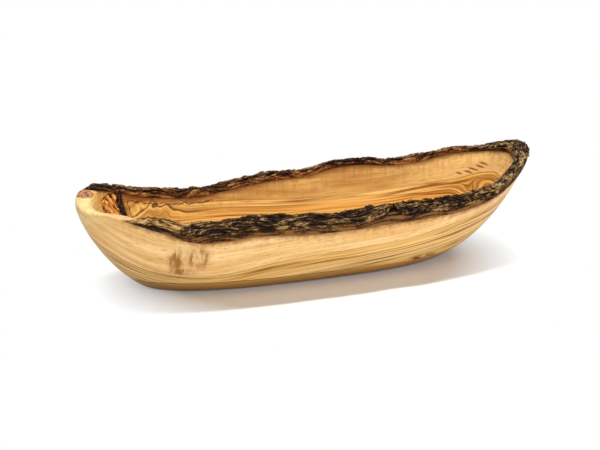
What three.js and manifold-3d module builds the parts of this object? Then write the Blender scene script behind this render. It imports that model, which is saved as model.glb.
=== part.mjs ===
// A long boat-shaped bowl carved out of half an olive log, with the bark left on along its live edge.
// The rim follows the outside of the log, so it waves and lifts towards both ends. On the rim lie strips
// of inner bark, and on those the plates of outer bark, which part at the fissures. The front of the
// blunt end is a bare wooden nose. Inside that end, the wall shows a dead knot and, next to it, a seam of
// bark that the tree grew over.
//
// Millimetres, +Z up. The origin is on the flat foot, under the middle of the bowl. +X points to the
// sharp end, and +Y to the back.

import * as THREE from "three";
import { LoftGeometry } from "three/addons/geometries/LoftGeometry.js";
import { mergeGeometries, mergeVertices } from "three/addons/utils/BufferGeometryUtils.js";
import Module from "manifold-3d";

const wasm = await Module();
wasm.setup();
const { lerp, smoothstep } = THREE.MathUtils;

// Plan of the rim. Fullness is 2 for an ellipse, and more for a squarer end.
const LENGTH = 359;
const WIDTH = 120;
const WIDEST_AT = 22;
const BLUNT_FULLNESS = 3;
const SHARP_FULLNESS = 2.25;

// Rim width, from the outside of the wall to the mouth, which is fuller at the sharp end
const SIDE_WALL = 10;
const BLUNT_LIP = 12.5;
const SHARP_LIP = 11.5;
const MOUTH_FULLNESS = 2.6;

// Foot and floor
const FOOT_LENGTH = 233;
const FOOT_WIDTH = 64;
const FOOT_SHIFT = -12;
const FLOOR_LENGTH = 186;
const FLOOR_WIDTH = 32;
const FLOOR_THICKNESS = 10;

// How the wall bends, as shares of its reach and of its height: outside it rolls off the foot and stands
// up to the rim, with more rake at the blunt end, and inside it falls from the mouth and runs out.
const FOOT_ROLL = [0.5, 0.14];
const RIM_STAND = [0.18, 0.38];
const RAKED_ROLL = [0.41, 0.14];
const RAKED_STAND = [0.1, 0.38];
const MOUTH_FALL = [0.14, 0.5];
const FLOOR_RUN = [0.55, 0.03];

// The log: how round it is across, and how high its wood stands along the two sides of the rim.
// A station is a share of the half length, -1 at the blunt end and 1 at the sharp end. The heights are
// over the usual height of the rim.
const LOG_RADIUS = 130;
const RIM_HEIGHT = 48;
const FRONT_EDGE = [[-1, 13.5], [-0.86, 6.5], [-0.71, 0.5], [-0.6, -5], [-0.5, -4.5], [-0.35, -1],
  [-0.13, -2.5], [0.07, -2.5], [0.21, -1.5], [0.42, -2.5], [0.62, -3.5], [0.74, -2], [0.88, 4.5], [1, 13]];
const BACK_EDGE = [[-1, 13.5], [-0.86, 9], [-0.69, 0.5], [-0.53, -3.5], [-0.41, -4.5], [-0.27, -1],
  [-0.05, 3], [0.11, 4], [0.22, 8], [0.35, 8], [0.48, 5], [0.6, 5], [0.76, 9], [0.88, 9.5], [1, 13]];

// Edges of the rim, and the bare nose that dips between two places, which are this far from the blunt end
const RIM_ROUND = 1.2;
const NOSE_ROUND = 7;
const NOSE_DIP = 7;
const NOSE_BACK = 12;
const NOSE_FRONT = 25;

// How thick the inner and the outer bark are at stations of the two sides. Both thin out at the nose.
const FRONT_BARK = [[-1, 0.8, 0.7], [-0.86, 1.6, 1.3], [-0.7, 4.3, 3.9], [-0.55, 5.2, 4.6], [-0.3, 5.9, 3.5],
  [0, 5, 3.1], [0.3, 4.8, 4.6], [0.6, 4.3, 3], [0.8, 3.5, 2.4], [1, 2.6, 2.4]];
const BACK_BARK = [[-1, 0.8, 0.7], [-0.86, 1.9, 2.5], [-0.7, 2.9, 3.9], [-0.55, 3, 4], [-0.28, 2.3, 3],
  [-0.22, 2.2, 4.2], [-0.08, 2.1, 4], [0.05, 2.1, 2.8], [0.3, 1.8, 2.6], [0.6, 1.9, 2.7], [0.8, 1.5, 2.2],
  [0.88, 1.3, 1.2], [0.95, 1.5, 1.4], [1, 2.6, 2.4]];

// Shape of the bark, which flares outwards as it rises. Its ridges, lumps and edges are as deep as this
// where the outer bark is thick, and shallower where it is thinner.
const SEAM = 0.3;
const BARK_FLARE = 0.25;
const THICK_BARK = 4;
const BARK_RIDGES = 3;
const RIDGE_DEPTH = 1.2;
const LUMP_HEIGHT = 0.9;
const LUMP_LENGTH = 23;
const EDGE_DROP = 1.2;
const SLANT_WIDTH = 0.6;

// Dead knot and ingrown bark: where they lie around the mouth and down the inside of the wall. The slant
// is the part of a turn by which the seam leans to the nose on its way down.
const KNOT_TURN = 0.421;
const KNOT_FALL = 0.14;
const KNOT_RADIUS = 9.5;
const KNOT_DEPTH = 5;
const INGROWN_TURN = 0.396;
const INGROWN_SLANT = 0.02;
const INGROWN_FALL = 0.6;
const INGROWN_WIDTH = 5;
const INGROWN_DEPTH = 5;

const FRONT = -1;
const BACK = 1;
const RIM_STATIONS = 120;
const WALL_STEPS = 9;
const UP = new THREE.Vector3(0, 0, 1);

// A plan outline: an oval with its own fullness at each end. It turns from the sharp end by the back.
class Oval extends THREE.Curve {
  constructor(bluntEnd, sharpEnd, width, sharpFullness = SHARP_FULLNESS) {
    super();
    this.bluntEnd = bluntEnd;
    this.sharpEnd = sharpEnd;
    this.halfWidth = width / 2;
    this.sharpFullness = sharpFullness;
    this.arcLengthDivisions = 3000;
  }

  getPoint(turn, target = new THREE.Vector3()) {
    const along = Math.cos(2 * Math.PI * turn);
    const end = along < 0 ? this.bluntEnd : this.sharpEnd;
    const fullness = along < 0 ? BLUNT_FULLNESS : this.sharpFullness;
    const x = WIDEST_AT + (end - WIDEST_AT) * Math.abs(along) ** (2 / fullness);
    return target.set(x, this.halfWidth * Math.sin(2 * Math.PI * turn), 0);
  }

  turnAt(x, side) {
    const end = x < WIDEST_AT ? this.bluntEnd : this.sharpEnd;
    const fullness = x < WIDEST_AT ? BLUNT_FULLNESS : this.sharpFullness;
    const along = Math.sign(end) * ((x - WIDEST_AT) / (end - WIDEST_AT)) ** (fullness / 2);
    const turn = Math.acos(along) / (2 * Math.PI);
    return side === BACK ? turn : 1 - turn;
  }
}

const halfLength = LENGTH / 2;
const rimOval = new Oval(-halfLength, halfLength, WIDTH);
const mouthEnds = [BLUNT_LIP - halfLength, halfLength - SHARP_LIP];
const mouthOval = new Oval(...mouthEnds, WIDTH - 2 * SIDE_WALL, MOUTH_FULLNESS);
const footOval = new Oval(FOOT_SHIFT - FOOT_LENGTH / 2, FOOT_SHIFT + FOOT_LENGTH / 2, FOOT_WIDTH);
const floorOval = new Oval(FOOT_SHIFT - FLOOR_LENGTH / 2, FOOT_SHIFT + FLOOR_LENGTH / 2, FLOOR_WIDTH);
const turns = Array.from({ length: RIM_STATIONS }, (_, i) => rimOval.getUtoTmapping(i / RIM_STATIONS));
const noseStart = rimOval.turnAt(NOSE_BACK - halfLength, BACK);
const noseEnd = rimOval.turnAt(NOSE_FRONT - halfLength, FRONT);

// The log's surface under the bark
function edgeHeight(stations) {
  const places = stations.map(([station]) => station * halfLength);
  const heights = stations.map(([, height]) => RIM_HEIGHT + height);
  const curve = new THREE.CubicInterpolant(places, heights, 1, new Float64Array(1));
  return (x) => curve.evaluate(x)[0];
}

const frontHeight = edgeHeight(FRONT_EDGE);
const backHeight = edgeHeight(BACK_EDGE);

function towardsBack(y) {
  return smoothstep(y, -WIDTH / 4, WIDTH / 4);
}

function logHeight(x, y) {
  const edge = lerp(frontHeight(x), backHeight(x), towardsBack(y));
  return edge + Math.sqrt(LOG_RADIUS ** 2 - y ** 2) - Math.sqrt(LOG_RADIUS ** 2 - (WIDTH / 2) ** 2);
}

// How far the rim is worn down to the bare nose, from 0 to 1
function noseShare(turn) {
  const middle = (noseStart + noseEnd) / 2;
  const reach = (noseEnd - noseStart) / 2;
  return 1 - smoothstep(Math.abs(turn - middle), 0.2 * reach, reach);
}

// A point on the rim: across runs from 0 outside to 1 at the mouth, and lift is its height over the wood.
function rimPoint(turn, across, lift = 0) {
  const outside = rimOval.getPoint(turn);
  const inside = mouthOval.getPoint(turn);
  const seat = outside.clone().lerp(inside, across);
  const height = logHeight(seat.x, seat.y) - NOSE_DIP * noseShare(turn) + lift;
  const outwards = outside.sub(inside).normalize();
  return seat.addScaledVector(outwards, BARK_FLARE * lift).setZ(height);
}

// A wall from one point to another, which leaves and arrives by shares of its reach and of its height
function wallCurve(from, to, leaving, arriving) {
  const reach = to.clone().sub(from).setZ(0);
  const height = to.z - from.z;
  const left = from.clone().addScaledVector(reach, leaving[0]).addScaledVector(UP, leaving[1] * height);
  const near = to.clone().addScaledVector(reach, -arriving[0]).addScaledVector(UP, -arriving[1] * height);
  return new THREE.CubicBezierCurve3(from, left, near, to);
}

function outsideCurve(turn) {
  const rake = smoothstep(-Math.cos(2 * Math.PI * turn), 0.6, 1);
  const roll = FOOT_ROLL.map((share, i) => lerp(share, RAKED_ROLL[i], rake));
  const stand = RIM_STAND.map((share, i) => lerp(share, RAKED_STAND[i], rake));
  return wallCurve(footOval.getPoint(turn), rimPoint(turn, 0), roll, stand);
}

function insideCurve(turn) {
  const throat = rimPoint(turn, 1).addScaledVector(UP, -RIM_ROUND);
  return wallCurve(throat, floorOval.getPoint(turn).setZ(FLOOR_THICKNESS), MOUTH_FALL, FLOOR_RUN);
}

// One line of the bowl: from the foot up the outside, which stops short of the rim's edge, then rounded over
// the rim and down into the hollow
function wallLine(turn) {
  const round = lerp(RIM_ROUND, NOSE_ROUND, noseShare(turn));
  const rimWidth = rimOval.getPoint(turn).distanceTo(mouthOval.getPoint(turn));
  const outside = outsideCurve(turn);
  const end = 1 - round / (3 * outside.v2.distanceTo(outside.v3));
  const wall = Array.from({ length: WALL_STEPS + 1 }, (_, i) => outside.getPoint((end * i) / WALL_STEPS));
  const outerFlat = round / rimWidth;
  const innerFlat = 1 - RIM_ROUND / rimWidth;
  const roundOver = new THREE.QuadraticBezierCurve3(wall.at(-1), outside.v3, rimPoint(turn, outerFlat));
  return [
    ...wall,
    ...roundOver.getPoints(3).slice(1),
    rimPoint(turn, (outerFlat + innerFlat) / 2),
    rimPoint(turn, innerFlat),
    ...insideCurve(turn).getPoints(WALL_STEPS),
  ];
}

function bowlGeometry() {
  const lines = turns.map(wallLine);
  const rings = lines[0].map((_, level) => lines.map((line) => line[level]));
  const walls = new LoftGeometry(rings, { capStart: true });
  const floorOutline = new THREE.Shape(rings.at(-1).map((p) => new THREE.Vector2(p.x, p.y)));
  const floor = new THREE.ShapeGeometry(floorOutline).translate(0, 0, FLOOR_THICKNESS);
  return mergeGeometries([walls, floor]);
}

// Axes at a point of the inside wall: sideways around the mouth, down the wall, and out of the wood
function wallAxes(turn, fall) {
  const curve = insideCurve(turn);
  const place = curve.getPoint(fall);
  const down = curve.getTangent(fall);
  const beside = insideCurve(turn + 0.001).getPoint(fall).sub(place);
  const out = beside.cross(down).normalize();
  const sideways = down.clone().cross(out);
  return { place, sideways, down, out };
}

// The knot is a short stub with an uneven outline, standing square to the wall.
function knotGeometry(allowance) {
  const outline = new THREE.Shape();
  const corners = 24;
  for (let i = 0; i < corners; i += 1) {
    const angle = (2 * Math.PI * i) / corners;
    const uneven = 1 + 0.08 * Math.sin(2 * angle) + 0.06 * Math.sin(5 * angle);
    const radius = KNOT_RADIUS * uneven + allowance;
    outline.lineTo(radius * Math.cos(angle), radius * Math.sin(angle));
  }
  const stub = new THREE.ExtrudeGeometry(outline, { depth: 2 * KNOT_DEPTH + allowance, bevelEnabled: false });
  const { place, sideways, down, out } = wallAxes(KNOT_TURN, KNOT_FALL);
  const axes = new THREE.Matrix4().makeBasis(sideways, down, out).setPosition(place);
  return stub.translate(0, 0, -KNOT_DEPTH - allowance).applyMatrix4(axes);
}

// The ingrown bark is a wedge that narrows down the wall from the rim.
function ingrownGeometry(allowance) {
  const steps = 5;
  const sections = Array.from({ length: steps + 1 }, (_, i) => {
    const share = i / steps;
    const narrow = Math.sqrt(1 - 0.7 * share);
    const half = 0.5 * INGROWN_WIDTH * narrow + allowance;
    const depth = INGROWN_DEPTH * narrow + allowance;
    const turn = INGROWN_TURN + share * INGROWN_SLANT;
    const { place, sideways, out } = wallAxes(turn, share * INGROWN_FALL);
    const corner = (s, o) => place.clone().addScaledVector(sideways, s).addScaledVector(out, o);
    return [corner(half, INGROWN_DEPTH), corner(half, -0.3 * depth), corner(0, -depth),
      corner(-half, -0.3 * depth), corner(-half, INGROWN_DEPTH)];
  });
  const overTheRim = sections[0].map((p) => p.clone().addScaledVector(UP, 2 * INGROWN_DEPTH));
  return new LoftGeometry([overTheRim, ...sections], { capStart: true, capEnd: true });
}

// Solids for cutting
function solid(geometry) {
  const bare = new THREE.BufferGeometry().setAttribute("position", geometry.attributes.position);
  const merged = mergeVertices(bare.setIndex(geometry.index));
  return new wasm.Manifold(new wasm.Mesh({
    numProp: 3,
    vertProperties: new Float32Array(merged.attributes.position.array),
    triVerts: new Uint32Array(merged.index.array),
  }));
}

function geometryOf(made) {
  const mesh = made.getMesh();
  const geometry = new THREE.BufferGeometry();
  geometry.setAttribute("position", new THREE.BufferAttribute(mesh.vertProperties, 3));
  geometry.setIndex(new THREE.BufferAttribute(mesh.triVerts, 1));
  geometry.computeVertexNormals();
  return geometry;
}

// The turn of the rim at a strip's end, outside and at the mouth
function endTurns([side, outerStation, innerStation]) {
  return [outerStation, innerStation].map((station) => rimOval.turnAt(station * halfLength, side));
}

// Adds slanted sections where two lie further apart than the usual step.
function refined(ends) {
  const usualStep = 1.1 * rimOval.getLength() / RIM_STATIONS;
  const lines = [ends[0]];
  for (const [outer, inner] of ends.slice(1)) {
    const [lastOuter, lastInner] = lines.at(-1);
    const outerStep = rimPoint(lastOuter, 0).distanceTo(rimPoint(outer, 0));
    const innerStep = rimPoint(lastInner, 1).distanceTo(rimPoint(inner, 1));
    const count = Math.ceil(Math.max(outerStep, innerStep) / usualStep);
    for (let i = 1; i <= count; i += 1) {
      lines.push([lerp(lastOuter, outer, i / count), lerp(lastInner, inner, i / count)]);
    }
  }
  return lines;
}

// A strip of bark on the rim. Each end is a side of the rim and two stations, one at the outside of the
// wall and one at the mouth, so an end can be slanted.
function barkStrip(from, to, steps, under, over) {
  const last = endTurns(to);
  const first = endTurns(from);
  const start = first[0] > last[0] ? first.map((turn) => turn - 1) : first;
  const margin = 0.3 / RIM_STATIONS;
  const between = [...turns.map((turn) => turn - 1), ...turns]
    .filter((turn) => turn > Math.max(...start) + margin && turn < Math.min(...last) - margin)
    .map((turn) => [turn, turn]);
  const shares = Array.from({ length: steps + 1 }, (_, i) => i / steps);
  const sections = refined([start, ...between, last]).map(([outer, inner]) => {
    const point = (across, lift) => {
      const turn = lerp(outer, inner, Math.min(1, across / SLANT_WIDTH));
      return rimPoint(turn, across, lift(turn, across));
    };
    return [
      ...shares.map((across) => point(across, under)),
      ...shares.toReversed().map((across) => point(across, over)),
    ];
  });
  return new LoftGeometry(sections, { capStart: true, capEnd: true });
}

// The thickness of the two layers of bark along the rim
function layers(stations) {
  const places = stations.map(([station]) => station * halfLength);
  const sizes = stations.flatMap(([, inner, outer]) => [inner, outer]);
  return new THREE.LinearInterpolant(places, sizes, 2, new Float64Array(2));
}

const frontLayers = layers(FRONT_BARK);
const backLayers = layers(BACK_BARK);

function barkThickness(turn) {
  const { x, y } = rimOval.getPoint(turn);
  const [frontInner, frontOuter] = frontLayers.evaluate(x);
  const [backInner, backOuter] = backLayers.evaluate(x);
  const back = towardsBack(y);
  return { inner: lerp(frontInner, backInner, back), outer: lerp(frontOuter, backOuter, back) };
}

// Inner bark is an even layer.
function innerTop(turn) {
  return SEAM + barkThickness(turn).inner;
}

function innerBark(from, to) {
  return barkStrip(from, to, 3, () => SEAM, innerTop);
}

// Outer bark is ropey: ridges along the rim, with lumps on them, and lower at its edges.
function outerTop(turn, across) {
  const place = rimPoint(turn, across);
  const phase = (2 * Math.PI * (place.x + place.y)) / LUMP_LENGTH;
  const lumps = LUMP_HEIGHT * Math.sin(phase) * Math.sin(0.37 * phase + 1);
  const ridges = 0.5 * RIDGE_DEPTH * Math.cos(2 * Math.PI * BARK_RIDGES * across + Math.sin(0.5 * phase));
  const drop = EDGE_DROP * (2 * across - 1) ** 4;
  const { outer } = barkThickness(turn);
  return innerTop(turn) + SEAM + outer + (outer / THICK_BARK) * (lumps + ridges - drop);
}

function outerBark(from, to) {
  return barkStrip(from, to, 2 * BARK_RIDGES, (turn) => innerTop(turn) + SEAM, outerTop);
}

const group = new THREE.Group();
const WOOD = { color: 0xd9ab68, roughness: 0.45, metalness: 0 };
const KNOT = { color: 0xb5642c, roughness: 0.7, metalness: 0 };
const INNER = { color: 0x7a4a28, roughness: 0.85, metalness: 0 };
const OUTER = { color: 0x3a3128, roughness: 0.95, metalness: 0 };

function add(name, geometry, look) {
  const mesh = new THREE.Mesh(geometry, new THREE.MeshStandardMaterial(look));
  mesh.name = name;
  group.add(mesh);
}

const bowl = solid(bowlGeometry());
const knotSocket = solid(knotGeometry(SEAM));
const ingrownSlot = solid(ingrownGeometry(SEAM));
add("bowl_body", geometryOf(bowl.subtract(knotSocket).subtract(ingrownSlot)), WOOD);
add("dead_knot", geometryOf(bowl.intersect(solid(knotGeometry(0))).subtract(ingrownSlot)), KNOT);
add("ingrown_bark", geometryOf(bowl.intersect(solid(ingrownGeometry(0)))), INNER);

add("front_inner_bark", innerBark([FRONT, -0.84, -0.825], [FRONT, 0.73, 0.74]), INNER);
add("tip_inner_bark", innerBark([FRONT, 0.74, 0.75], [BACK, 0.86, 0.86]), INNER);
add("back_inner_bark", innerBark([BACK, 0.85, 0.85], [BACK, -0.77, -0.835]), INNER);
add("blunt_inner_bark", innerBark([BACK, -0.785, -0.85], [BACK, -0.935, -0.935]), INNER);

add("front_left_bark", outerBark([FRONT, -0.835, -0.8], [FRONT, -0.65, -0.63]), OUTER);
add("front_middle_bark", outerBark([FRONT, -0.64, -0.62], [FRONT, 0.11, 0.22]), OUTER);
add("front_right_bark", outerBark([FRONT, 0.28, 0.227], [FRONT, 0.72, 0.74]), OUTER);
add("tip_bark", outerBark([FRONT, 0.73, 0.75], [BACK, 0.86, 0.87]), OUTER);
add("back_right_bark", outerBark([BACK, 0.85, 0.86], [BACK, 0.22, 0.2]), OUTER);
add("back_middle_bark", outerBark([BACK, 0.21, 0.19], [BACK, -0.23, -0.26]), OUTER);
add("back_left_bark", outerBark([BACK, -0.24, -0.27], [BACK, -0.765, -0.83]), OUTER);
add("blunt_bark", outerBark([BACK, -0.79, -0.86], [BACK, -0.905, -0.9]), OUTER);

export default group;
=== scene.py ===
# A long boat-shaped bowl carved from half an olive log, with the bark left on along its live edge.
# Metres, +Z up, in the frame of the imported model: +X points to the sharp end and +Y to the back.
import math

import bpy
import numpy as np
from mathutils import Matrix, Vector, noise
from mathutils.bvhtree import BVHTree


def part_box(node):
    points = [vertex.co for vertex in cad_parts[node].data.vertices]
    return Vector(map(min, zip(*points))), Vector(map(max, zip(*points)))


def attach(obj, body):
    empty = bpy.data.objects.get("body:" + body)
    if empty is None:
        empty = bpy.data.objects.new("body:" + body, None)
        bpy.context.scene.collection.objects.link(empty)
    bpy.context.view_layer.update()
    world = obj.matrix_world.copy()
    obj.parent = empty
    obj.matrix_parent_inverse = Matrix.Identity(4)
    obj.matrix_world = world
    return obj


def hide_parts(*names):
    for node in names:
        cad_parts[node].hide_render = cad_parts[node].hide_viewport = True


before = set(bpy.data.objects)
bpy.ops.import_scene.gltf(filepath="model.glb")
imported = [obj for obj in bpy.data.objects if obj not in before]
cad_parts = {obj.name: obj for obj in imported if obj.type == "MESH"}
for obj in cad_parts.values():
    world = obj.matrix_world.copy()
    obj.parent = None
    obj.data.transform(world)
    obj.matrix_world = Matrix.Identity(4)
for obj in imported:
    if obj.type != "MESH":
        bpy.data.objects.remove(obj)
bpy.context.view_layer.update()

# The carved bowl is one piece of olive wood, hollowed with gouges from the bark side of half a log. It is
# sanded and oiled, and stands on a flat foot. Its walls cut through the growth rings, whose lines show.
MM = 0.001
MERGE_DISTANCE = 0.002 * MM
LEVEL_NORMAL = 0.9995
QUAD_FOLD = math.radians(30)
QUAD_SKEW = math.radians(50)
FOOT_INSET = 8 * MM
HOLLOW_INSET = 5 * MM
ROUNDING_LEVELS = 2
SHARP_EDGE = math.radians(40)
FOOT_HEIGHT = 0
DOWN, UP = -1, 1


def copied(node_name, piece_name):
    """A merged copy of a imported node, as the one selected and active object."""
    bpy.ops.object.select_all(action="DESELECT")
    piece = bpy.data.objects.new(piece_name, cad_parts[node_name].data.copy())
    bpy.context.scene.collection.objects.link(piece)
    bpy.context.view_layer.objects.active = piece
    piece.select_set(True)
    piece.data.materials.clear()
    bpy.ops.mesh.customdata_custom_splitnormals_clear()
    bpy.ops.object.mode_set(mode="EDIT")
    bpy.ops.mesh.select_all(action="SELECT")
    bpy.ops.mesh.remove_doubles(threshold=MERGE_DISTANCE)
    bpy.ops.object.mode_set(mode="OBJECT")
    return piece


def one_face(piece, facing, height, inset):
    """Joins the level faces at a height, which face up or down, into one face with a border."""
    for face in piece.data.polygons:
        level = abs(face.center.z - height) < MERGE_DISTANCE
        face.select = level and face.normal.z * facing > LEVEL_NORMAL
    bpy.ops.object.mode_set(mode="EDIT")
    bpy.ops.mesh.dissolve_faces()
    bpy.ops.mesh.inset(thickness=inset, use_even_offset=True)
    bpy.ops.object.mode_set(mode="OBJECT")


def settled(piece, kind, **settings):
    """Adds a modifier to a piece and applies it."""
    bpy.ops.object.select_all(action="DESELECT")
    bpy.context.view_layer.objects.active = piece
    piece.select_set(True)
    modifier = piece.modifiers.new(kind.lower(), kind)
    for name, value in settings.items():
        setattr(modifier, name, value)
    bpy.ops.object.modifier_apply(modifier=modifier.name)


def keep(mesh, name, values):
    """Keeps a number or a place for each point of a mesh, for its material to read."""
    values = np.asarray(values, np.float32)
    kind, part = ("FLOAT", "value") if values.ndim == 1 else ("FLOAT_VECTOR", "vector")
    mesh.attributes.new(name, kind, "POINT").data.foreach_set(part, values.ravel())


def finished(piece, material, node_name):
    """Gives a piece its material, and its place in the assembly."""
    piece.data.materials.append(material)
    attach(piece, "root")
    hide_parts(node_name)


bowl = copied("bowl_body", "carved_bowl")
hollow_floor = min(face.center.z for face in bowl.data.polygons if face.normal.z > LEVEL_NORMAL)
bpy.ops.object.mode_set(mode="EDIT")
bpy.ops.mesh.select_all(action="SELECT")
bpy.ops.mesh.tris_convert_to_quads(face_threshold=QUAD_FOLD, shape_threshold=QUAD_SKEW)
bpy.ops.mesh.select_all(action="DESELECT")
bpy.ops.object.mode_set(mode="OBJECT")
one_face(bowl, DOWN, FOOT_HEIGHT, FOOT_INSET)
one_face(bowl, UP, hollow_floor, HOLLOW_INSET)
settled(bowl, "SUBSURF", levels=ROUNDING_LEVELS, render_levels=ROUNDING_LEVELS)
bpy.ops.object.shade_smooth_by_angle(angle=SHARP_EDGE)

# How far each point of the wood lies from the bark and from the knot, in millimetres, for the stains
# that they leave in it, and for the painted shadow of the overhanging bark
for attribute, ending in (("bark_gap", "_bark"), ("knot_gap", "_knot")):
    corners, faces = [], []
    for name, node in sorted(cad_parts.items()):
        if name.endswith(ending):
            faces += [[len(corners) + i for i in face.vertices] for face in node.data.polygons]
            corners += [vertex.co.copy() for vertex in node.data.vertices]
    neighbour = BVHTree.FromPolygons(corners, faces)
    gaps = []
    for vertex in bowl.data.vertices:
        _, _, _, gap = neighbour.find_nearest(vertex.co)
        gaps.append(gap / MM)
    keep(bowl.data, attribute, gaps)

# How far each point of the wood faces into the hollow: 1 inside, and 0 outside and on top of the rim
LIP_HEIGHT = 45 * MM
FLOOR_FACING = -0.2
WALL_FACING = (0.1, 0.6)
bowl_low, bowl_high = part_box("bowl_body")
hollow_shares = []
for vertex in bowl.data.vertices:
    outwards = Vector((vertex.co.x / bowl_high.x**2, vertex.co.y / bowl_high.y**2, 0)).normalized()
    facing = -vertex.normal.dot(outwards)
    lying = vertex.normal.z > 0 and vertex.co.z < LIP_HEIGHT and facing > FLOOR_FACING
    hollow_shares.append(1 if lying else np.interp(facing, WALL_FACING, (0, 1)))
keep(bowl.data, "inward", hollow_shares)


def linear(colour):
    """An sRGB hex colour as linear red, green, blue and alpha, by the curve of the sRGB standard."""
    shares = [int(colour[i:i + 2], 16) / 255 for i in (1, 3, 5)]
    return [s / 12.92 if s <= 0.04045 else ((s + 0.055) / 1.055) ** 2.4 for s in shares] + [1]


def add_node(tree, kind, sockets=None, **settings):
    """Adds a node with its settings. Its sockets get numbers, hex colours, or what they link to: an output,
    or the first output in use of another node."""
    made = tree.nodes.new("ShaderNode" + kind)
    for name, value in settings.items():
        if name == "stops":
            ramp = made.color_ramp
            while len(ramp.elements) < len(value):
                ramp.elements.new(1)
            for element, (place, colour) in zip(ramp.elements, value):
                element.position = place
                element.color = linear(colour)
        else:
            setattr(made, name, value)
    for socket, value in (sockets or {}).items():
        if isinstance(value, bpy.types.Node):
            value = next(output for output in value.outputs if output.enabled)
        if isinstance(value, bpy.types.NodeSocket):
            tree.links.new(value, made.inputs[socket])
        else:
            made.inputs[socket].default_value = linear(value) if isinstance(value, str) else value
    return made


def stained(tree, colour, stains):
    """A colour with stains laid over it in turn. Each stain is its colour and the shares that bound it."""
    for stain, share, *others in stains:
        for other in others:
            share = add_node(tree, "Math", {0: share, 1: other}, operation="MULTIPLY")
        colour = add_node(tree, "Mix", {"Factor": share, "A": colour, "B": stain}, data_type="RGBA")
    return colour


def bare_material(name):
    """A new material without nodes."""
    material = bpy.data.materials.new(name)
    material.use_nodes = True
    material.node_tree.nodes.clear()
    return material


# Oiled olive wood: satin, with growth rings about the pith, which lies under the foot. The sapwood near the
# bark is a plain pale cream. The heartwood is golden with brown lines of uneven width. Low on the outside,
# painted shade makes the wood darker. The hollow has taken up more oil, and is more golden than the
# outside.
SAPWOOD = "#f0ca8f"
SAPWOOD_STREAK = "#dbab68"
SAPWOOD_TICK = "#ab7a3e"
HEARTWOOD = "#f2cd8b"
HEARTWOOD_BAND = "#e4b66a"
GRAIN_LINE = "#7e4f1a"
OILED_LINE = "#8a5013"
OILED_SAPWOOD = "#d8aa5c"
OILED_STREAK = "#b4782e"
OILED_HEARTWOOD = "#ffd27a"
OILED_BAND = "#eaa644"
TIP_SAPWOOD = "#f2c67e"
TIP_HEARTWOOD = "#ecb052"
# The nose colour is painted light: the top of the nose is drawn paler, as if lit from above.
NOSE_PAINTED_LIGHT = "#f0d392"
WOOD_SHINE = 0.15

olive_wood = bare_material("oiled_olive_wood")
tree = olive_wood.node_tree
wood_place = add_node(tree, "TexCoord").outputs["Object"]
wood = add_node(tree, "VectorMath", {0: wood_place, "Scale": 1 / MM}, operation="SCALE")
wood_parts = add_node(tree, "SeparateXYZ", {0: wood}).outputs
wood_x, wood_z = wood_parts["X"], wood_parts["Z"]

# Places in the wood that differ, as the middle and the half sizes of an egg in millimetres. A fleck has a
# middle and a half length. All flecks have one depth and one height, and lean down towards the tip.
PLACES = {
    "burl": ((-108, 41, 55), (34, 28, 24)),
    "burl lines": ((-100, 41, 52), (62, 30, 26)),
    "burl stain": ((-116, 42, 62), (44, 26, 13)),
    "hollow of the log": ((-128, -30, 20), (130, 60, 60)),
    "tip dip": ((145, 14, 36), (22, 20, 14)),
    "tip heart": ((148, 12, 54), (40, 36, 18)),
    "tip lines": ((146, 12, 44), (50, 40, 26)),
    "tip": ((165, 0, 60), (110, 90, 60)),
    "nose": ((-174, -4, 68), (24, 38, 18)),
    "patch": ((-169, 15, 71), (11, 10, 7)),
    "stain": ((73, -39, 9), (21, 14, 8)),
    "left smear": ((-118, -42, 32), (8, 14, 19)),
    "right smear": ((-103, -47, 34), (13, 14, 15)),
    "low smear": ((-112, -37, 22), (13, 10, 5)),
}
FLECKS = {
    (138.4, 27.6, 51.7): 3,
    (144.8, 23.9, 53.2): 3.8,
    (148.3, 22.5, 55.6): 5,
    (152.8, 19.8, 58.1): 4,
    (155.3, 18.7, 60.6): 3.4,
}
FLECK_DEPTH = 10
FLECK_HEIGHT = 1.15
FLECK_LEAN = 0.23
FLECK_TILT = (0, 0, FLECK_LEAN)
leaning = add_node(tree, "VectorMath", {0: wood_x, 1: FLECK_TILT, 2: wood}, operation="MULTIPLY_ADD")
eggs = [(name, wood, middle, reach) for name, (middle, reach) in PLACES.items()]
for fleck, reach in FLECKS.items():
    middle = (fleck[0], fleck[1], fleck[2] + FLECK_LEAN * fleck[0])
    eggs.append((fleck, leaning, middle, (reach, FLECK_DEPTH, FLECK_HEIGHT)))
near = {}
for name, around, middle, reach in eggs:
    from_middle = add_node(tree, "VectorMath", {0: around, 1: middle}, operation="SUBTRACT")
    reaches = add_node(tree, "VectorMath", {0: from_middle, 1: reach}, operation="DIVIDE")
    distance = add_node(tree, "VectorMath", {0: reaches}, operation="LENGTH")
    limits = {"Value": distance, "From Min": 1, "From Max": 0}
    near[name] = add_node(tree, "MapRange", limits, interpolation_type="SMOOTHSTEP")

# Noise through the wood, as coarse as its sizes in millimetres, and with its detail
THROUGH_WOOD = {
    "wander": ((130, 50, 50), 2),
    "heart edge": ((45, 30, 20), 2),
    "burl": ((13, 13, 9), 1),
    "burl stain": ((14, 14, 9), 3),
    "smears": ((2.6, 30, 9), 4),
    "stain": ((9, 9, 4), 3),
    "low edge": ((60, 60, 900), 2),
    "rough": ((4, 4, 4), 3),
    "brush": ((3, 3, 26), 3),
    "mottle": ((2.4, 2.4, 2.4), 2),
}
pattern = {}
for name, (sizes, detail) in THROUGH_WOOD.items():
    cells = add_node(tree, "VectorMath", {0: wood, 1: sizes}, operation="DIVIDE")
    pattern[name] = add_node(tree, "TexNoise", {"Vector": cells, "Scale": 1, "Detail": detail})

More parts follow.
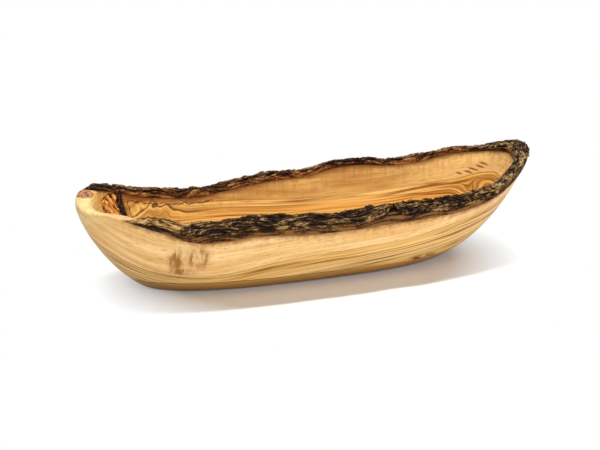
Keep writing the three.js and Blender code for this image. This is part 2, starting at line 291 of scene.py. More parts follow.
# The log is not quite straight: its rings turn and lift along it, wander, and swell or sink at the burl, at
# a hollow of the log and at the tip. In the burl they also curl.
PITH = (0, 9, -67)
PITH_TURN = 0.12
RINGS_LIFT = 0.0003
WANDER = (0, 8, 8)
NOISE_MIDDLE = (0.5, 0.5, 0.5)
SWELLS = {"burl": -10, "hollow of the log": 15, "tip dip": 7, "tip heart": -4}
BURL_CURL = {"From Min": 0.3, "From Max": 0.7, "To Min": -5, "To Max": 5}
wander = pattern["wander"].outputs["Color"]
drift = add_node(tree, "VectorMath", {0: wander, 1: NOISE_MIDDLE}, operation="SUBTRACT")
moved = add_node(tree, "VectorMath", {0: drift, 1: WANDER, 2: wood}, operation="MULTIPLY_ADD")
log_x, log_y, log_z = add_node(tree, "SeparateXYZ", {0: moved}).outputs
turned = add_node(tree, "Math", {0: log_x, 1: PITH_TURN, 2: log_y}, operation="MULTIPLY_ADD")
squared = add_node(tree, "Math", {0: log_x, 1: log_x}, operation="MULTIPLY")
lowered = add_node(tree, "Math", {0: squared, 1: -RINGS_LIFT, 2: log_z}, operation="MULTIPLY_ADD")
section = add_node(tree, "CombineXYZ", {"Y": turned, "Z": lowered})
from_pith = add_node(tree, "VectorMath", {0: section, 1: PITH}, operation="SUBTRACT")
ring = add_node(tree, "VectorMath", {0: from_pith}, operation="LENGTH")
for name, swell in SWELLS.items():
    ring = add_node(tree, "Math", {0: near[name], 1: swell, 2: ring}, operation="MULTIPLY_ADD")
curl = add_node(tree, "MapRange", {"Value": pattern["burl"], **BURL_CURL})
ring = add_node(tree, "Math", {0: near["burl"], 1: curl, 2: ring}, operation="MULTIPLY_ADD")

# Noise that follows the grain: its sizes along the log, across the rings and around the log. Real pores are
# finer than the finest here, and would not show.
ALONG_GRAIN = {
    "ragged": ((30, 20, 12), 3),
    "streaks": ((70, 5, 26), 4),
    "ticks": ((7, 0.8, 5), 2),
    "bands": ((260, 6, 90), 2),
    "broad veins": ((230, 4.2, 80), 1.5),
    "thin veins": ((170, 1.7, 60), 1.5),
    "fading": ((85, 10, 40), 1),
    "fine": ((110, 0.9, 40), 3),
}
grain = add_node(tree, "CombineXYZ", {"X": log_x, "Y": ring, "Z": log_y})
for name, (sizes, detail) in ALONG_GRAIN.items():
    cells = add_node(tree, "VectorMath", {0: grain, 1: sizes}, operation="DIVIDE")
    pattern[name] = add_node(tree, "TexNoise", {"Vector": cells, "Scale": 1, "Detail": detail})

# Sapwood has soft streaks and short brown ticks along the grain. It is paler at the tip. On the top of the
# nose a pool of light is painted, pale yellow.
# A range says, here and below, where a look starts and where it is full, and how strong it then is.
STREAK_RANGE = {"From Min": 0.4, "From Max": 0.66}
TIP_RANGE = {"From Max": 0.6, "To Max": 0.8}
NOSE_LIGHT_RANGE = {"From Max": 0.6, "To Max": 0.9}
TICK_RANGE = {"From Min": 0.58, "From Max": 0.7, "To Max": 0.6}
inward = add_node(tree, "Attribute", attribute_name="inward").outputs["Fac"]
outward = add_node(tree, "Math", {0: 1, 1: inward}, operation="SUBTRACT")
streaks = add_node(tree, "MapRange", {"Value": pattern["streaks"], **STREAK_RANGE})
tip_share = add_node(tree, "MapRange", {"Value": near["tip"], **TIP_RANGE})
nose_light_share = add_node(tree, "MapRange", {"Value": near["nose"], **NOSE_LIGHT_RANGE})
ticks = add_node(tree, "MapRange", {"Value": pattern["ticks"], **TICK_RANGE})
oiled_sapwood = stained(tree, OILED_SAPWOOD, [(OILED_STREAK, streaks)])
sapwood = stained(
    tree,
    SAPWOOD,
    [
        (SAPWOOD_STREAK, streaks),
        (oiled_sapwood, inward),
        (TIP_SAPWOOD, tip_share, inward),
        (NOSE_PAINTED_LIGHT, nose_light_share),
        (SAPWOOD_TICK, ticks),
    ],
)

# Heartwood has bands, and dark lines that come and go, each sharper on one side. They are strongest inside
# the tip, and faint on the floor of the hollow, where the rings lie flat and a line would be a broad blot.
VEINS = {"broad veins": 0.06, "thin veins": 0.05}
VEIN_MIDDLE = 0.5
VEIN_FLANK = 0.5
BLACK = "#000000"
WHITE = "#ffffff"
BAND_RANGE = {"From Min": 0.38, "From Max": 0.62}
TIP_LINE_RANGE = {"From Max": 0.5}
TIP_HEART_RANGE = {"From Min": 0.2, "From Max": 0.8, "To Max": 0.7}
FADING_RANGE = {"From Min": 0.36, "From Max": 0.56, "To Min": 0.25}
FLAT_RANGE = {"From Min": 26, "From Max": 12, "To Max": 0.75}
bands = add_node(tree, "MapRange", {"Value": pattern["bands"], **BAND_RANGE})
tip_lines = add_node(tree, "MapRange", {"Value": near["tip lines"], **TIP_LINE_RANGE})
tip_heart = add_node(tree, "MapRange", {"Value": near["tip lines"], **TIP_HEART_RANGE})
oiled_heartwood = stained(tree, OILED_HEARTWOOD, [(OILED_BAND, bands), (TIP_HEARTWOOD, tip_heart)])
heartwood = stained(tree, HEARTWOOD, [(HEARTWOOD_BAND, bands), (oiled_heartwood, inward)])
fading = add_node(tree, "MapRange", {"Value": pattern["fading"], **FADING_RANGE})
full_strength = add_node(tree, "Math", {0: fading, 1: tip_lines}, operation="MAXIMUM")
flat_rings = add_node(tree, "MapRange", {"Value": wood_z, **FLAT_RANGE})
blotted = add_node(tree, "Math", {0: flat_rings, 1: inward}, operation="MULTIPLY")
cleared = add_node(tree, "Math", {0: 1, 1: blotted}, operation="SUBTRACT")
line_strength = add_node(tree, "Math", {0: full_strength, 1: cleared}, operation="MULTIPLY")
line = stained(tree, GRAIN_LINE, [(OILED_LINE, inward)])
for name, width in VEINS.items():
    start = VEIN_MIDDLE - width
    stop = VEIN_MIDDLE + VEIN_FLANK * width
    vein_stops = [(start, BLACK), (VEIN_MIDDLE, WHITE), (stop, BLACK)]
    vein = add_node(tree, "ValToRGB", {"Fac": pattern[name]}, stops=vein_stops)
    heartwood = stained(tree, heartwood, [(line, vein, line_strength)])

# A ragged dark line parts heartwood and sapwood here and there, and fine lines run through both.
HEART_RADIUS = 113
RAGGEDNESS = 3
HEART_RANGE = {"From Min": HEART_RADIUS + 2.2, "From Max": HEART_RADIUS + 0.8}
PAST_HEART_RANGE = {"From Min": HEART_RADIUS, "From Max": HEART_RADIUS + 4}
EDGE_STOPS = [(0.32, BLACK), (0.44, WHITE), (0.6, BLACK)]
EDGE_RANGE = {"From Min": 0.42, "From Max": 0.56, "To Min": 0.15, "To Max": 0.85}
FINE_RANGE = {"From Min": 0.58, "From Max": 0.36}
HEARTWOOD_FINE = {"To Min": 0.3, "To Max": 0.42}
SAPWOOD_FINE = {"To Min": 0.17}
ragged = {0: pattern["ragged"], 1: RAGGEDNESS, 2: ring}
ragged_ring = add_node(tree, "Math", ragged, operation="MULTIPLY_ADD")
heart = add_node(tree, "MapRange", {"Value": ragged_ring, **HEART_RANGE})
past_heart = add_node(tree, "MapRange", {"Value": ragged_ring, **PAST_HEART_RANGE})
edge = add_node(tree, "ValToRGB", {"Fac": past_heart}, stops=EDGE_STOPS)
edge_strength = add_node(tree, "MapRange", {"Value": pattern["heart edge"], **EDGE_RANGE})
fine_lines = add_node(tree, "MapRange", {"Value": pattern["fine"], **FINE_RANGE})
heart_fine = add_node(tree, "MapRange", {"Value": inward, **HEARTWOOD_FINE})
fine_strength = add_node(tree, "MapRange", {"Value": heart, **SAPWOOD_FINE, "To Max": heart_fine})
colour = stained(
    tree,
    sapwood,
    [(heartwood, heart), (line, edge, edge_strength), (line, fine_lines, fine_strength)],
)

# The burl is reddish under the bark. Dark lines follow single rings: they curl in the burl and run out
# along the wall, and are fine and close together inside the tip. Each kind has a place, a colour, the
# radius of one of its rings, the gap between them, their half width and how strong it is.
BURL_STAIN = "#8f4c1c"
RING_LINES = (
    ("burl lines", "#61300f", 107.6, 6, 0.8, 0.9),
    ("tip lines", "#7c4410", 111, 2.3, 0.42, 0.7),
)
BURL_RANGE = {"From Min": 0.05, "From Max": 0.25, "To Max": 0.85}
UNDER_HEART_RANGE = {"From Min": HEART_RADIUS + 2, "From Max": HEART_RADIUS}
LINE_NEAR_RANGE = {"From Min": 0.05, "From Max": 0.35}
LINE_CORE = 0.35
burl_spots = {0: near["burl stain"], 1: pattern["burl stain"]}
burl_share = add_node(tree, "Math", burl_spots, operation="MULTIPLY")
burl_stain = add_node(tree, "MapRange", {"Value": burl_share, **BURL_RANGE})
colour = stained(tree, colour, [(BURL_STAIN, burl_stain, inward)])
under_heart = add_node(tree, "MapRange", {"Value": ragged_ring, **UNDER_HEART_RANGE})
for name, line_colour, radius, gap, width, most in RING_LINES:
    past_line = add_node(tree, "Math", {0: ring, 1: radius}, operation="SUBTRACT")
    beside_line = add_node(tree, "Math", {0: past_line, 1: gap / 2}, operation="PINGPONG")
    across = {"Value": beside_line, "From Min": width, "From Max": LINE_CORE * width}
    ring_line = add_node(tree, "MapRange", across)
    line_near = add_node(tree, "MapRange", {"Value": near[name], **LINE_NEAR_RANGE, "To Max": most})
    colour = stained(tree, colour, [(line_colour, ring_line, line_near, under_heart, inward)])

# Brown smears across the grain on the front, a dark stain low on the same side, and flecks inside the tip
SMEAR_COLOUR = "#99692f"
STAIN_COLOUR = "#5e3812"
FLECK_COLOUR = "#7a4c14"
SMEAR_RANGE = {"From Min": 0.4, "From Max": 0.6, "To Min": 0.3, "To Max": 1.5}
SMEAR_NEAR_RANGE = {"From Max": 0.7, "To Max": 0.75}
BLOTCH_RANGE = {"From Min": 0.36, "From Max": 0.54, "To Max": 1.5}
FLECK_RANGE = {"From Max": 0.5, "To Max": 0.9}
smears = add_node(tree, "MapRange", {"Value": pattern["smears"], **SMEAR_RANGE})
for name in ("left smear", "right smear", "low smear"):
    smear_near = add_node(tree, "MapRange", {"Value": near[name], **SMEAR_NEAR_RANGE})
    colour = stained(tree, colour, [(SMEAR_COLOUR, smears, smear_near)])
blotches = add_node(tree, "MapRange", {"Value": pattern["stain"], **BLOTCH_RANGE})
colour = stained(tree, colour, [(STAIN_COLOUR, blotches, near["stain"])])
for fleck in FLECKS:
    fleck_share = add_node(tree, "MapRange", {"Value": near[fleck], **FLECK_RANGE})
    colour = stained(tree, colour, [(FLECK_COLOUR, fleck_share, inward)])

# Low on the outside, below a thin dark grain line that ends near the middle, painted shade makes the wood
# golden brown, and darker still towards the foot.
LOW_PAINTED_SHADE = "#ad7c34"
FOOT_PAINTED_SHADE = "#6b420c"
LOW_LINE = 11.7
LOW_WAVE = 3
LOW_SHADE_RANGE = {"From Min": 0.3, "From Max": -1.2, "To Max": 0.85}
FOOT_SHADE_RANGE = {"From Min": 10, "From Max": 1, "To Max": 0.9}
ACROSS_RANGE = {"From Min": -1.5, "From Max": 1.5}
LOW_LINE_STOPS = [(0.22, BLACK), (0.5, WHITE), (0.7, BLACK)]
LOW_LINE_RANGE = {"From Min": 40, "From Max": 0}
waved = add_node(tree, "Math", {0: pattern["low edge"], 1: LOW_WAVE, 2: wood_z}, operation="MULTIPLY_ADD")
over_line = add_node(tree, "Math", {0: waved, 1: LOW_LINE}, operation="SUBTRACT")
low = add_node(tree, "MapRange", {"Value": over_line, **LOW_SHADE_RANGE})
lowest = add_node(tree, "MapRange", {"Value": wood_z, **FOOT_SHADE_RANGE})
across_line = add_node(tree, "MapRange", {"Value": over_line, **ACROSS_RANGE})
low_line = add_node(tree, "ValToRGB", {"Fac": across_line}, stops=LOW_LINE_STOPS)
line_place = add_node(tree, "MapRange", {"Value": log_x, **LOW_LINE_RANGE})
colour = stained(
    tree,
    colour,
    [
        (LOW_PAINTED_SHADE, low, outward),
        (FOOT_PAINTED_SHADE, lowest, outward),
        (STAIN_COLOUR, low_line, line_place, outward),
    ],
)

# Next to the bark the wood is browner: partly a stain from the bark, and partly painted shadow that the
# overhanging bark casts. Strokes of the stain run down the wall, and are strongest inside. At the burl the
# stain is red with a dark scalloped edge. The knot has a dark jagged edge, and on the end of the rim a
# mottled patch of inner bark is left.
BARK_STAIN_AND_SHADOW = "#8a5a2a"
KNOT_EDGE = "#43200d"
PATCH_COLOUR = "#b47a50"
PATCH_DARK = "#5f3826"
JAGGEDNESS = 6
SCALLOP_GAP = 7.5
BARK_STAIN_AND_SHADOW_RANGE = {"From Min": 8, "From Max": 2.6, "To Max": 0.85}
STROKE_RANGE = {"From Min": 0.42, "From Max": 0.62}
STROKE_REACH = {"From Min": 18, "From Max": 2, "To Max": 0.4}
STROKE_SIDE = {"To Min": 0.45}
KNOT_EDGE_RANGE = {"From Min": 4.2, "From Max": 3.2, "To Max": 0.9}
PATCH_RANGE = {"From Min": 0.1, "From Max": 0.16}
MOTTLE_RANGE = {"From Min": 0.46, "From Max": 0.6}
SCALLOP_RANGE = {"From Min": 0.75, "From Max": 0.2}
SCALLOP_NEAR_RANGE = {"From Min": 0.05, "From Max": 0.3, "To Max": 0.85}
REDDENED_RANGE = {"From Min": 0.4, "From Max": -1.5, "To Max": 0.45}
bark_gap = add_node(tree, "Attribute", attribute_name="bark_gap").outputs["Fac"]
jags = add_node(tree, "Math", {0: pattern["rough"], 1: JAGGEDNESS}, operation="MULTIPLY")
ragged_gap = add_node(tree, "Math", {0: jags, 1: bark_gap}, operation="ADD")
stain_and_shadow_limits = {"Value": ragged_gap, **BARK_STAIN_AND_SHADOW_RANGE}
bark_stain_and_shadow = add_node(tree, "MapRange", stain_and_shadow_limits, interpolation_type="SMOOTHSTEP")
strokes = add_node(tree, "MapRange", {"Value": pattern["brush"], **STROKE_RANGE})
stroke_reach = add_node(tree, "MapRange", {"Value": bark_gap, **STROKE_REACH})
stroke_side = add_node(tree, "MapRange", {"Value": inward, **STROKE_SIDE})
past_scallop = add_node(tree, "Math", {0: ragged_gap, 1: SCALLOP_GAP}, operation="SUBTRACT")
beside_scallop = add_node(tree, "Math", {0: past_scallop}, operation="ABSOLUTE")
scallop = add_node(tree, "MapRange", {"Value": beside_scallop, **SCALLOP_RANGE})
scallop_near = add_node(tree, "MapRange", {"Value": near["burl lines"], **SCALLOP_NEAR_RANGE})
reddened = add_node(tree, "MapRange", {"Value": past_scallop, **REDDENED_RANGE})
knot_gap = add_node(tree, "Attribute", attribute_name="knot_gap").outputs["Fac"]
jagged_gap = add_node(tree, "Math", {0: jags, 1: knot_gap}, operation="ADD")
knot_edge = add_node(tree, "MapRange", {"Value": jagged_gap, **KNOT_EDGE_RANGE})
patch_share = add_node(tree, "Math", {0: near["patch"], 1: pattern["rough"]}, operation="MULTIPLY")
patch_near = add_node(tree, "MapRange", {"Value": patch_share, **PATCH_RANGE})
patch_spots = add_node(tree, "MapRange", {"Value": pattern["mottle"], **MOTTLE_RANGE})
patch = stained(tree, PATCH_COLOUR, [(PATCH_DARK, patch_spots)])
colour = stained(
    tree,
    colour,
    [
        (BARK_STAIN_AND_SHADOW, bark_stain_and_shadow),
        (BARK_STAIN_AND_SHADOW, strokes, stroke_reach, stroke_side),
        (BURL_STAIN, reddened, scallop_near, inward),
        (KNOT_EDGE, scallop, scallop_near, inward),
        (KNOT_EDGE, knot_edge),
        (patch, patch_near),
    ],
)

# The fine lines also show in the gloss, and as shallow furrows.
GLOSS_RANGE = {"From Min": 0.35, "From Max": 0.65, "To Min": 0.52, "To Max": 0.4}
FURROWS = {"Strength": 0.12, "Distance": 0.4 * MM}
gloss = add_node(tree, "MapRange", {"Value": pattern["fine"], **GLOSS_RANGE})
furrows = add_node(tree, "Bump", {"Height": pattern["fine"], **FURROWS})
shader = add_node(
    tree,
    "BsdfPrincipled",
    {"Base Color": colour, "Roughness": gloss, "Specular IOR Level": WOOD_SHINE, "Normal": furrows},
)
add_node(tree, "OutputMaterial", {"Surface": shader})
finished(bowl, olive_wood, "bowl_body")

# The dead knot is the stub of a lost branch in the inside wall. Its end grain is torn and fibrous, orange
# brown with dark cracks, and was left rough where the wall around it was sanded. The sizes of its relief,
# and of that of the bark, are in millimetres.
RIM_WIDEST = 22
BLUNT_FULLNESS = 3
SHARP_FULLNESS = 2.25
RIM_STEPS = 4000
RIM_BIN = 6
LEAN_LENGTH = 32
LEAN_HEIGHT = 7
END_SWELL = 0.9
BROKEN_LENGTH = 26
BROKEN_WIDTH = 9
BREAKS = 1.6
SMOOTHING = 0.5
SMOOTHING_PASSES = 2
RELIEF_PERCENTILES = (2, 98)
KNOT_VOXEL = 0.45 * MM
FIBRE_LENGTH = 8
FIBRE_WIDTH = 1.1
FIBRE_DEPTH = 0.5
FLAKE_SIZE = 3
FLAKE_DEPTH = 0.65
CRACK_SIZE = 4
CRACK_LENGTH = 7
CRACK_SHARE = 0.15
CRACK_DEPTH = 0.9
KNOT_SINK = 0.5
KNOT_ROUGHNESS = 0.7
KNOT_SHINE = 0.15
KNOT_STOPS = [(0.08, "#38180a"), (0.34, "#91501f"), (0.56, "#c98138"), (0.85, "#e6ae62")]


def rim_places(points):
    """Where points lie in the bark: along the rim, inwards from its outline, and up from the middle of
    the piece, all in millimetres. Also which way the rim runs there."""
    low, high = bowl_low / MM, bowl_high / MM
    x, y, z = points.T / MM

    def oval(angle):
        """The outline of the rim, which is fuller at the blunt end."""
        ahead = np.cos(angle)
        reach = np.where(ahead < 0, RIM_WIDEST - low.x, high.x - RIM_WIDEST)
        fullness = np.where(ahead < 0, BLUNT_FULLNESS, SHARP_FULLNESS)
        return np.sign(ahead) * reach * np.abs(ahead) ** (2 / fullness), high.y * np.sin(angle)

    angles = np.linspace(-np.pi, np.pi, RIM_STEPS)
    steps = np.hypot(*np.diff(oval(angles)))
    lengths = np.concatenate([[0], np.cumsum(steps)])

    blunt = x < RIM_WIDEST
    side = np.where(blunt, -1, 1)
    reach = np.where(blunt, RIM_WIDEST - low.x, high.x - RIM_WIDEST)
    fullness = np.where(blunt, BLUNT_FULLNESS, SHARP_FULLNESS)
    ahead = np.abs(x - RIM_WIDEST) / reach
    aside = y / high.y
    slope = fullness * ahead ** (fullness - 1) / reach
    steepness = np.hypot(slope, 2 * aside / high.y)
    inwards = (1 - ahead**fullness - aside**2) / steepness
    tangents = np.column_stack([-2 * aside / high.y, side * slope, 0 * slope]) / steepness[:, None]
    angle = np.arctan2(aside, side * ahead ** (fullness / 2))
    along = np.interp(angle, angles, lengths)

    bins = np.round(along / RIM_BIN).astype(int)
    counts = np.bincount(bins)
    used = np.flatnonzero(counts)
    means = np.bincount(bins, z)[used] / counts[used]
    return np.column_stack([along, inwards, z - np.interp(along, used * RIM_BIN, means)]), tangents


def broken(along, inwards, lean):
    """Steps up and down, as where flakes have broken off."""
    return round(BREAKS * noise.noise((along / BROKEN_LENGTH, inwards / BROKEN_WIDTH, lean / BROKEN_WIDTH)))


def grown(node_name, piece_name, voxel, relief, flakes=0):
    """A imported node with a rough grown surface: a fine even mesh, pushed out by relief millimetres and in
    steps by flakes of a thickness. Its fibres rise and fall along the rim. At its two ends it is swelled
    towards its neighbours."""
    piece = copied(node_name, piece_name)
    settled(piece, "REMESH", mode="VOXEL", voxel_size=voxel)
    settled(piece, "SMOOTH", factor=SMOOTHING, iterations=SMOOTHING_PASSES)
    mesh = piece.data
    flat = np.empty(3 * len(mesh.vertices))
    mesh.vertices.foreach_get("normal", flat)
    outwards = flat.reshape(-1, 3).copy()
    mesh.vertices.foreach_get("co", flat)
    points = flat.reshape(-1, 3)
    places, tangents = rim_places(points)
    keep(mesh, "height", places[:, 2])
    places[:, 2] -= [LEAN_HEIGHT * noise.noise((along / LEAN_LENGTH, 0, 0)) for along in places[:, 0]]
    heights = np.array([relief(*place) for place in places])
    ends = np.abs((outwards * tangents).sum(1))
    steps = flakes * np.array([broken(*place) for place in places])
    swell = (heights + steps) * (1 - ends) + END_SWELL * ends
    points += outwards * swell[:, None] * MM
    mesh.vertices.foreach_set("co", points.ravel())
    mesh.update()
    lowest, highest = np.percentile(heights, RELIEF_PERCENTILES)
    keep(mesh, "relief", (heights - lowest) / (highest - lowest))
    keep(mesh, "rim_place", places)
    bpy.ops.object.shade_smooth()
    return piece


def torn(along, inwards, lean):
    """Fibres that run down the wall, with cracks between them."""
    fibre = noise.noise((along / FIBRE_WIDTH, inwards / FIBRE_WIDTH, lean / FIBRE_LENGTH))
    flake = noise.noise((along / FLAKE_SIZE, inwards / FLAKE_SIZE, lean / CRACK_SIZE))
    crack = abs(noise.noise((along / CRACK_SIZE, inwards / CRACK_SIZE, lean / CRACK_LENGTH)))
    opening = max(0, 1 - crack / CRACK_SHARE)
    return FIBRE_DEPTH * fibre + FLAKE_DEPTH * flake - CRACK_DEPTH * opening - KNOT_SINK


knot = grown("dead_knot", "torn_knot", KNOT_VOXEL, torn)

# Torn knot wood: dry and dull, orange on its fibres and nearly black in its cracks
knot_wood = bare_material("torn_knot_wood")
tree = knot_wood.node_tree
knot_relief = add_node(tree, "Attribute", attribute_name="relief").outputs["Fac"]
fibres = add_node(tree, "ValToRGB", {"Fac": knot_relief}, stops=KNOT_STOPS)
dull = {"Base Color": fibres, "Roughness": KNOT_ROUGHNESS, "Specular IOR Level": KNOT_SHINE}
add_node(tree, "OutputMaterial", {"Surface": add_node(tree, "BsdfPrincipled", dull)})
finished(knot, knot_wood, "dead_knot")

# The inner bark is a reddish brown layer of fibres, grown onto the wood of the rim. It shows as a band
# under the crust, and as a dark seam beside the knot, where the tree grew over it.
INNER_VOXEL = 0.5 * MM
BAST_LENGTH = 14
BAST_WIDTH = 1.4
BAST_DEPTH = 0.42
BAST_CRUMB = 1.5
BAST_CRUMB_DEPTH = 0.21
BAST_SWELL = 0.35
SINK_SHARE = 1.1
SPLINTERS = 9
SPLINTER_LENGTH = 14
SPLINTER_WIDTH = 2
BARK_SHINE = 0.15
BARK_ROUGHNESS = 0.9
BARK_NOISE = {"From Min": 0.3, "From Max": 0.7}
STREAK_DETAIL = 3
STREAK_DEPTH = 0.35
BARK_PATCH = (28, 10, 10)
PATCH_DETAIL = 2
PATCH_DEPTH = 0.32
BAST_STREAK = (12, 1, 1)
SEAM_STREAK = (1, 1, 4)


def bast(along, inwards, lean):
    """Fibres along the rim, swelled enough to close onto the wood."""
    fibre = noise.noise((along / BAST_LENGTH, inwards / BAST_WIDTH, lean / BAST_WIDTH))
    crumb = noise.noise((along / BAST_CRUMB, inwards / BAST_CRUMB, lean / BAST_CRUMB))
    return BAST_SWELL + BAST_DEPTH * fibre + BAST_CRUMB_DEPTH * crumb


wood_surface = BVHTree.FromPolygons(
    [vertex.co for vertex in bowl.data.vertices], [list(face.vertices) for face in bowl.data.polygons]
)


def run_out(piece, full, end):
    """Thins a strip of bark out into the wood, from where it is full to a ragged end, at these x in
    millimetres."""
    for vertex in piece.data.vertices:
        x, y, z = vertex.co / MM
        place = x + SPLINTERS * noise.noise((x / SPLINTER_LENGTH, y / SPLINTER_WIDTH, z / SPLINTER_WIDTH))
        share = np.interp(place, (end, full), (1, 0))
        if share:
            seat, _, _, _ = wood_surface.find_nearest(vertex.co)
            vertex.co = vertex.co.lerp(seat, SINK_SHARE * share)
    piece.data.update()


def bark_material(name, stops, streak, shade=0):
    """Rough bark, coloured by its relief, by streaks of these sizes in millimetres and by patches. It is
    darker upwards by a shade per millimetre: painted shade, for the shadow that the crust above casts."""
    material = bare_material(name)
    tree = material.node_tree
    place = add_node(tree, "Attribute", attribute_name="rim_place").outputs["Vector"]
    relief = add_node(tree, "Attribute", attribute_name="relief").outputs["Fac"]
    height = add_node(tree, "Attribute", attribute_name="height").outputs["Fac"]
    level = add_node(tree, "Math", {0: height, 1: -shade, 2: relief}, operation="MULTIPLY_ADD")
    changes = ((streak, STREAK_DETAIL, STREAK_DEPTH), (BARK_PATCH, PATCH_DETAIL, PATCH_DEPTH))
    for sizes, detail, depth in changes:
        cells = add_node(tree, "VectorMath", {0: place, 1: sizes}, operation="DIVIDE")
        spread = add_node(tree, "TexNoise", {"Vector": cells, "Scale": 1, "Detail": detail})
        change = {"Value": spread, **BARK_NOISE, "To Min": -depth, "To Max": depth}
        level = add_node(tree, "Math", {0: level, 1: add_node(tree, "MapRange", change)}, operation="ADD")
    colour = add_node(tree, "ValToRGB", {"Fac": level}, stops=stops)
    finish = {"Base Color": colour, "Roughness": BARK_ROUGHNESS, "Specular IOR Level": BARK_SHINE}
    add_node(tree, "OutputMaterial", {"Surface": add_node(tree, "BsdfPrincipled", finish)})
    return material


# Fibrous inner bark: brown, darker where it is cracked, and darker up next to the crust by its painted
# shadow
brown_bast = bark_material(
    "fibrous_inner_bark",
    [(0.1, "#160b05"), (0.4, "#341e0e"), (0.7, "#573619"), (1, "#7b542b")],
    BAST_STREAK,
    shade=0.1,
)
# Red inner bark: lighter and redder, where it shows under the crust at the back, with less painted shadow
red_bast = bark_material(
    "red_inner_bark",
    [(0.1, "#2c150a"), (0.4, "#5c341a"), (0.7, "#845029"), (1, "#a6733f")],
    BAST_STREAK,
    shade=0.04,
)
# Ingrown bark: nearly black, a dark line in the wall
ingrown_bark = bark_material(
    "ingrown_bark", [(0.2, "#0e0704"), (0.55, "#2d160c"), (0.95, "#5a331c")], SEAM_STREAK
)

INNER_LOOKS = {
    "front_inner_bark": brown_bast,
    "tip_inner_bark": brown_bast,
    "back_inner_bark": red_bast,
    "blunt_inner_bark": brown_bast,
    "ingrown_bark": ingrown_bark,
}
# Where a strip starts to run out into the wood, and where it ends
INNER_RUNS = {"front_inner_bark": (-130, -155), "blunt_inner_bark": (-160, -168.5)}
for name, look in INNER_LOOKS.items():
    strip = grown(name, name.replace("_bark", "_bast"), INNER_VOXEL, bast)
    if name in INNER_RUNS:
        run_out(strip, *INNER_RUNS[name])
    finished(strip, look, name)

# The outer bark is a dry dark crust in plates, grown onto the inner bark. Ropes of it run along the rim,
# parted by fissures, with finer strands on them. At the blunt end it is thin, and on the front there it is
# worn down to tan fibres.
CRUST_VOXEL = 0.36 * MM
ROPE_LENGTH = 20
ROPE_WIDTH = 3
FISSURE_SHARE = 0.25
ROPE_DEPTH = 1.1
STRAND_LENGTH = 7
STRAND_WIDTH = 1.1
STRAND_DEPTH = 1.2
CRUMB_SIZE = 0.9
CRUMB_DEPTH = 0.55
BROKEN_DEPTH = 0.7
CRUST_SWELL = -0.7
CRUMBLED = 2.2
THIN_SHARE = 0.5
WORN_LENGTH = 11
WORN_WIDTH = 1.3
WORN_DEPTH = 0.7
WORN_CRUMB = 2
WORN_CRUMB_DEPTH = 0.4
WORN_SWELL = -0.1


def crust(along, inwards, lean):
    """Flat-topped ropes with sharp fissures between them, and finer strands and crumbs on top."""
    rope = abs(noise.noise((along / ROPE_LENGTH, inwards / ROPE_WIDTH, lean / ROPE_WIDTH)))
    strand = noise.noise((along / STRAND_LENGTH, inwards / STRAND_WIDTH, lean / STRAND_WIDTH))
    crumb = noise.noise((along / CRUMB_SIZE, inwards / CRUMB_SIZE, lean / CRUMB_SIZE))
    ropes = CRUST_SWELL + ROPE_DEPTH * min(1, rope / FISSURE_SHARE)
    return ropes + STRAND_DEPTH * strand + CRUMB_DEPTH * crumb


def crumbled(along, inwards, lean):
    """The crust with its ropes and strands broken short."""
    return crust(CRUMBLED * along, inwards, lean)


def thin(along, inwards, lean):
    """The crust at a share of its relief."""
    return THIN_SHARE * crust(along, inwards, lean)


def worn(along, inwards, lean):
    """Long fine fibres."""
    fibre = noise.noise((along / WORN_LENGTH, inwards / WORN_WIDTH, lean / WORN_WIDTH))
    crumb = noise.noise((along / WORN_CRUMB, inwards / CRUMB_SIZE, lean / CRUMB_SIZE))
    return WORN_SWELL + WORN_DEPTH * fibre + WORN_CRUMB_DEPTH * crumb


CRUST_STREAK = (5, 0.8, 0.8)
TIP_STREAK = (2.6, 0.9, 0.9)
WORN_STREAK = (7, 0.8, 0.8)

# Dry olive bark: black in its cracks, dark brown, with pale streaks on its tops that are partly weathering
# and partly painted highlight
dry_bark = bark_material(
    "dry_olive_bark",
    [(0.2, "#0a0503"), (0.5, "#27180b"), (0.72, "#483018"), (0.92, "#6c4e2d"), (1, "#95754a")],
    CRUST_STREAK,
)
# Brown olive bark: less weathered, along the back
brown_bark = bark_material(
    "brown_olive_bark",
    [(0.2, "#0b0603"), (0.5, "#301b0d"), (0.72, "#56371c"), (0.92, "#7a5431"), (1, "#9d774b")],
    CRUST_STREAK,
)
# Greyed olive bark: greyer and lighter, around the tip
grey_bark = bark_material(
    "greyed_olive_bark",
    [(0.2, "#100a05"), (0.42, "#3a2917"), (0.66, "#6b5132"), (0.92, "#92754b"), (1, "#ad9065")],
    TIP_STREAK,
)
# Weathered bark: tan and fibrous, where the rim runs out to the nose
weathered_bark = bark_material(
    "weathered_bark",
    [(0.1, "#2e1d0c"), (0.4, "#694722"), (0.65, "#956b38"), (0.95, "#bd9862")],
    WORN_STREAK,
)

OUTER_LOOKS = {
    "front_left_bark": (worn, 0, weathered_bark),
    "front_middle_bark": (crust, BROKEN_DEPTH, dry_bark),
    "front_right_bark": (crumbled, BROKEN_DEPTH, dry_bark),
    "tip_bark": (crumbled, BROKEN_DEPTH, grey_bark),
    "back_right_bark": (crust, BROKEN_DEPTH, brown_bark),
    "back_middle_bark": (crust, BROKEN_DEPTH, brown_bark),
    "back_left_bark": (crust, BROKEN_DEPTH, brown_bark),
    "blunt_bark": (thin, 0, dry_bark),
}
OUTER_RUNS = {"front_left_bark": (-126, -155), "blunt_bark": (-157, -163.5)}
for name, (form, flakes, look) in OUTER_LOOKS.items():
    plate = grown(name, name.replace("_bark", "_crust"), CRUST_VOXEL, form, flakes)
    if name in OUTER_RUNS:
        run_out(plate, *OUTER_RUNS[name])
    finished(plate, look, name)

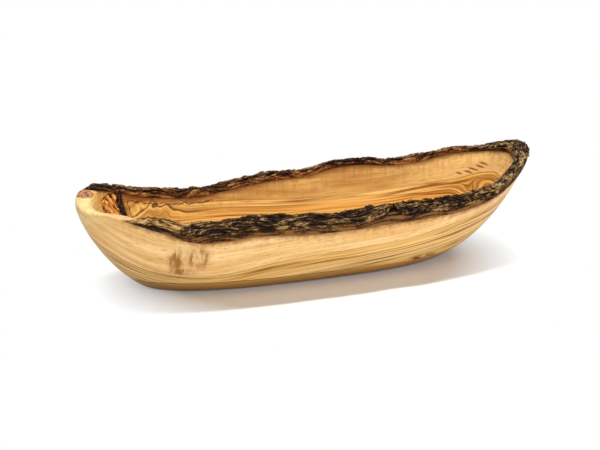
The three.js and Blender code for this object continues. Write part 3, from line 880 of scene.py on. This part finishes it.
# The floor is a sweep of white paper, laid flat under the bowl. Around the bowl it is matt and takes a soft
# shadow. Further off the camera sees it evenly white, but it throws back light like the rest of the paper.
FLOOR_SIZE = 8
FLOOR_WHITE = "#f0eeeb"
FLOOR_EXPOSURE = 1.05
FLOOR_REACH = (0.158, 0.12, 1)
FLOOR_RANGE = {"From Min": 0.7, "From Max": 1.05}
PLAIN_WHITE = 1


def seen(tree):
    """1 for what is seen, straight, mirrored or through glass, and 0 for what only throws light."""
    rays = add_node(tree, "LightPath").outputs
    share = rays["Is Camera Ray"]
    for kind in ("Is Glossy Ray", "Is Transmission Ray"):
        share = add_node(tree, "Math", {0: share, 1: rays[kind]}, operation="MAXIMUM")
    return share


bpy.ops.object.select_all(action="DESELECT")
bpy.ops.mesh.primitive_plane_add(size=FLOOR_SIZE)
sweep = bpy.context.object
sweep.name = "floor"

# White paper: matt and even, with nothing on it to catch the eye
white_paper = bare_material("white_sweep")
tree = white_paper.node_tree
floor_place = add_node(tree, "TexCoord").outputs["Object"]
floor_reaches = add_node(tree, "VectorMath", {0: floor_place, 1: FLOOR_REACH}, operation="DIVIDE")
from_bowl = add_node(tree, "VectorMath", {0: floor_reaches}, operation="LENGTH")
far = add_node(tree, "MapRange", {"Value": from_bowl, **FLOOR_RANGE})
straight = add_node(tree, "LightPath").outputs["Is Camera Ray"]
exposure = add_node(tree, "MapRange", {"Value": straight, "To Min": 1, "To Max": FLOOR_EXPOSURE})
shade = add_node(tree, "VectorMath", {0: linear(FLOOR_WHITE)[:3], "Scale": exposure}, operation="SCALE")
paper = add_node(tree, "BsdfDiffuse", {"Color": shade})
plain = add_node(tree, "Emission", {"Strength": PLAIN_WHITE})
plain_share = add_node(tree, "Math", {0: far, 1: seen(tree)}, operation="MULTIPLY")
sheet = add_node(tree, "MixShader", {0: plain_share, 1: paper, 2: plain})
add_node(tree, "OutputMaterial", {"Surface": sheet})
sweep.data.materials.append(white_paper)

# The light is that of a studio: a narrow strip overhead, a wide fill from the front, and an even white room
# around, which the camera sees as plain white. Each lamp has a place and a size in metres and a power in
# watts, and shines on the middle of the foot.
ROOM_LIGHT = 0.24
LAMPS = {
    "strip": ((0, 0.13, 1.3), (0.55, 0.12), 17.5),
    "fill": ((0.15, -1.45, 0.5), (1.2, 0.8), 16),
}
world = bpy.data.worlds.new("studio")
bpy.context.scene.world = world
world.use_nodes = True
tree = world.node_tree
tree.nodes.clear()
room = add_node(tree, "Background", {"Strength": ROOM_LIGHT})
backdrop = add_node(tree, "Background", {"Strength": PLAIN_WHITE})
surroundings = add_node(tree, "MixShader", {0: seen(tree), 1: room, 2: backdrop})
add_node(tree, "OutputWorld", {"Surface": surroundings})


def aim(thing, target):
    """Turns a lamp or a camera to a place."""
    thing.rotation_euler = (target - thing.location).to_track_quat("-Z", "Y").to_euler()


for name, (spot, sizes, power) in LAMPS.items():
    bpy.ops.object.light_add(type="AREA", location=spot)
    lamp = bpy.context.object
    lamp.name = name
    lamp.data.shape = "RECTANGLE"
    lamp.data.size, lamp.data.size_y = sizes
    lamp.data.energy = power
    aim(lamp, Vector((0, 0, FOOT_HEIGHT)))

# The camera stands in front of the bowl, to its left and a little above it. Its place and its lens were
# fitted to the outline, the rim and the straight front edge of the foot.
CAMERA_PLACE = Vector((-355.7, -903.0, 347.6)) * MM
CAMERA_TARGET = Vector((27.7, 95.9, 0)) * MM
SENSOR_WIDTH = 36
FOCAL_LENGTH = 81
bpy.ops.object.camera_add(location=CAMERA_PLACE)
camera = bpy.context.object
aim(camera, CAMERA_TARGET)
camera.data.sensor_fit = "HORIZONTAL"
camera.data.sensor_width = SENSOR_WIDTH
camera.data.lens = FOCAL_LENGTH
bpy.context.scene.camera = camera
bpy.context.scene.view_settings.view_transform = "Standard"
